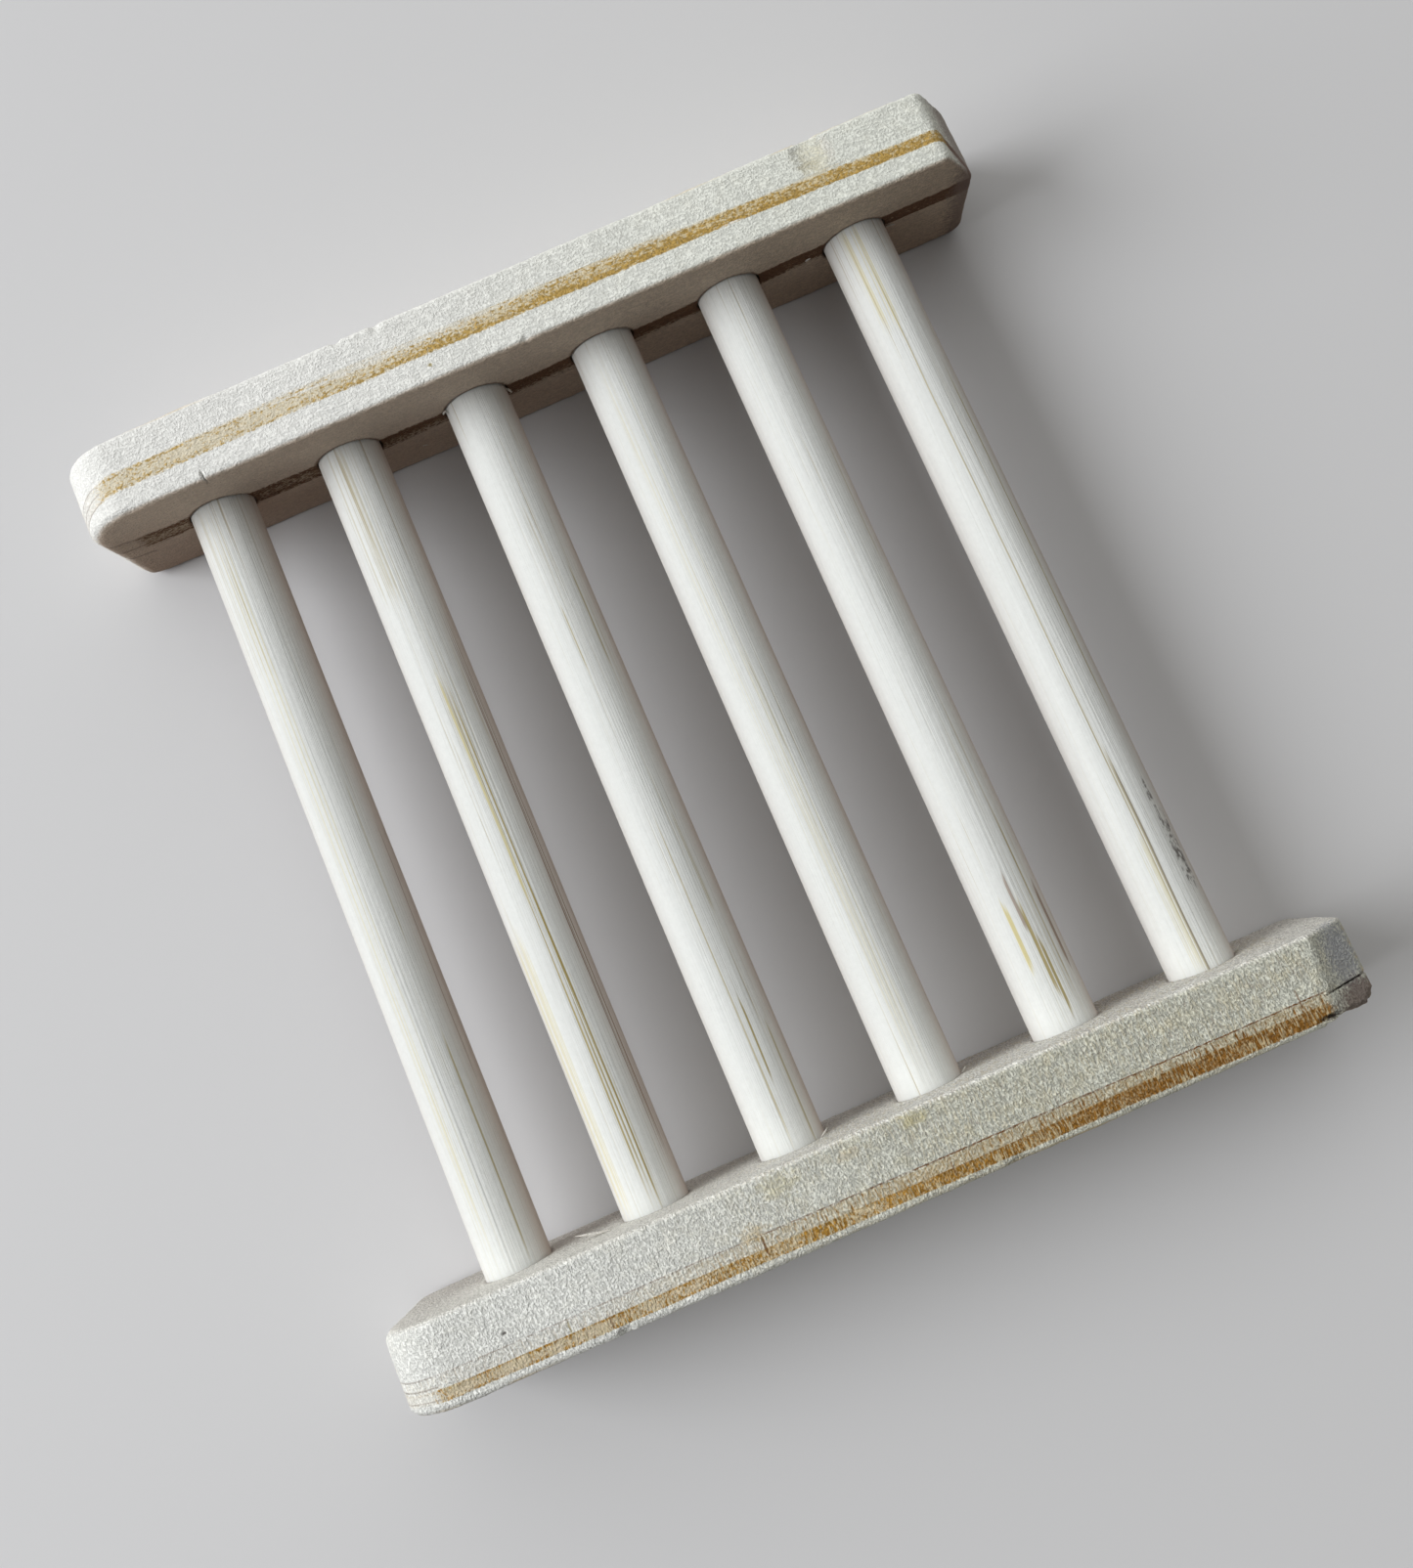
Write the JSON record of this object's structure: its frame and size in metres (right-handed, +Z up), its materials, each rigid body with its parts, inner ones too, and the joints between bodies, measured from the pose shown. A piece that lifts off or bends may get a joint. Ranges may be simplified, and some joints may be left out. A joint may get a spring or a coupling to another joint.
{
  "type": "soap dish",
  "caption": "Ladder-style wooden soap dish: round dowels glued between side rails with cut top corners hold a bar of soap above the surface so that it drains.",
  "frame": {"origin": "on the surface that the dish stands on, under the middle of the dish", "axes": "+X along the rails from the rounded ends to the flat-cut ends, +Y from the front rail to the back rail, +Z up"},
  "size_m": [0.101, 0.1006, 0.02],
  "materials": {
    "rail_wood": "bare pine, rough sanded and slightly fuzzy",
    "dowel_wood": "bare pale wood, turned and left unfinished"
  },
  "bodies": {
    "root": {"back_rail": "rail_wood", "front_rail": "rail_wood", "dowel_1": "dowel_wood", "dowel_2": "dowel_wood", "dowel_3": "dowel_wood", "dowel_4": "dowel_wood", "dowel_5": "dowel_wood", "dowel_6": "dowel_wood"}
  },
  "joints": []
}
